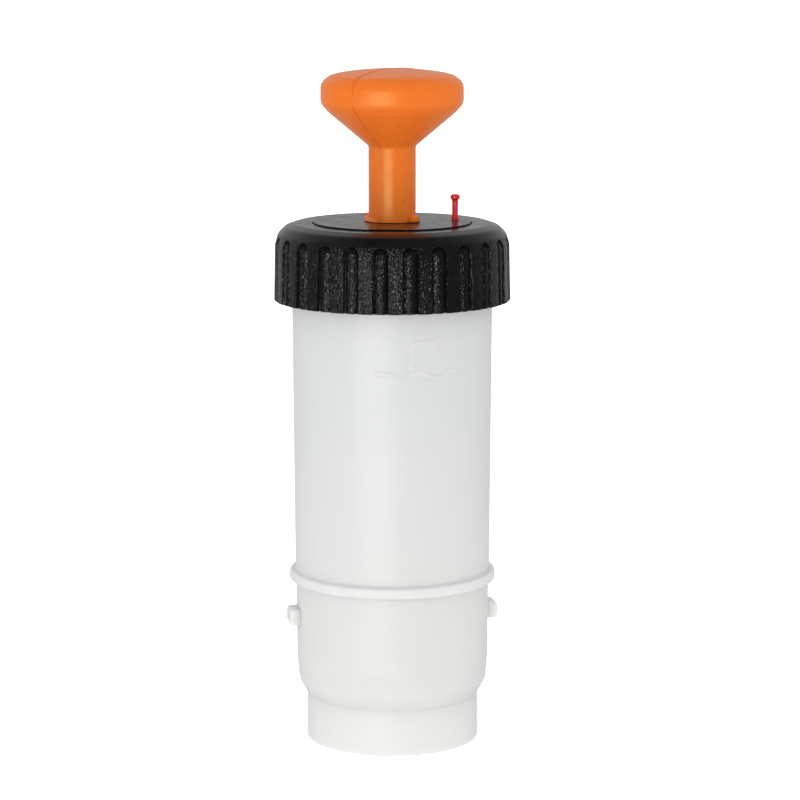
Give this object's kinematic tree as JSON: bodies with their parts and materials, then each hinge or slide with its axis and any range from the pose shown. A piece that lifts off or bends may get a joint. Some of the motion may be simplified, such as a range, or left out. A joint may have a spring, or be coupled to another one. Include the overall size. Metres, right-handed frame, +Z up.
{
  "type": "hand vacuum pump",
  "caption": "Hand vacuum pump: mushroom-handled piston pump in a translucent vessel, with fluted union nut, relief pin and a spigot with bayonet lugs.",
  "frame": {"origin": "centre of the spigot's lower face, where the pump stands", "axes": "+Z up the pump's axis towards the handle, -Y towards the front, where the water mark is"},
  "size_m": [0.0999, 0.0999, 0.2871],
  "materials": {
    "milky_plastic": "milky translucent polyethylene, satin",
    "black_plastic": "satin moulded, grained on the flutes",
    "orange_plastic": "satin moulded",
    "red_plastic": "glossy moulded",
    "white_plastic": "natural acetal, satin",
    "black_rubber": "matt elastomer",
    "stainless_steel": "fine brushed",
    "brass": "turned"
  },
  "bodies": {
    "vessel": {"vessel_body": "milky_plastic"},
    "head": {"pump_head": "black_plastic", "head_gasket": "black_rubber", "barrel": "white_plastic", "barrel_nut": "black_plastic", "barrel_o_ring": "black_rubber", "guide_bush": "white_plastic", "rod_wiper": "black_rubber", "foot_valve_body": "black_plastic", "foot_valve_keeper": "white_plastic", "foot_o_ring": "black_rubber", "intake_strainer": "white_plastic", "relief_cage": "black_plastic", "relief_spring": "stainless_steel"},
    "nut": {"union_nut": "black_plastic", "captive_ring": "stainless_steel"},
    "piston_seal": {"piston_cup_seal": "black_rubber"},
    "plunger": {"handle": "orange_plastic", "handle_insert": "brass", "plunger_rod": "stainless_steel", "top_buffer": "black_rubber", "piston_stop_washer": "stainless_steel", "piston": "white_plastic", "piston_washer": "stainless_steel", "piston_nut": "stainless_steel"},
    "piston_valve": {"piston_valve_disc": "black_rubber"},
    "foot_valve": {"foot_valve_disc": "black_rubber"},
    "relief": {"relief_pin": "red_plastic", "relief_seal": "black_rubber"}
  },
  "joints": [
    {"name": "head_lift", "type": "slide", "parent": "vessel", "child": "head", "axis": [0, 0, 1], "range_m": [0, 0.00901]},
    {"name": "nut_turn", "type": "hinge", "parent": "head", "child": "nut", "pos_m": [0, 0, 0.2], "axis": [0, 0, 1], "range_deg": [0, 540]},
    {"name": "plunger_stroke", "type": "slide", "parent": "head", "child": "piston_seal", "axis": [0, 0, 1], "range_m": [0, 0.135]},
    {"name": "handle_turn", "type": "hinge", "parent": "piston_seal", "child": "plunger", "pos_m": [0, 0, 0.2], "axis": [0, 0, 1], "continuous": true},
    {"name": "piston_valve_lift", "type": "slide", "parent": "plunger", "child": "piston_valve", "axis": [0, 0, 1], "range_m": [0, 0.0015]},
    {"name": "foot_valve_lift", "type": "slide", "parent": "head", "child": "foot_valve", "axis": [0, 0, 1], "range_m": [0, 0.002]},
    {"name": "relief_press", "type": "slide", "parent": "head", "child": "relief", "axis": [0, 0, -1], "range_m": [0, 0.003], "stiffness_N_per_m": 300, "springref_m": -0.004, "deforming": ["relief_spring"]}
  ],
  "couplings": [
    {"joint": "head_lift", "follows": "nut_turn", "m_per_rad": 0.00095493}
  ]
}
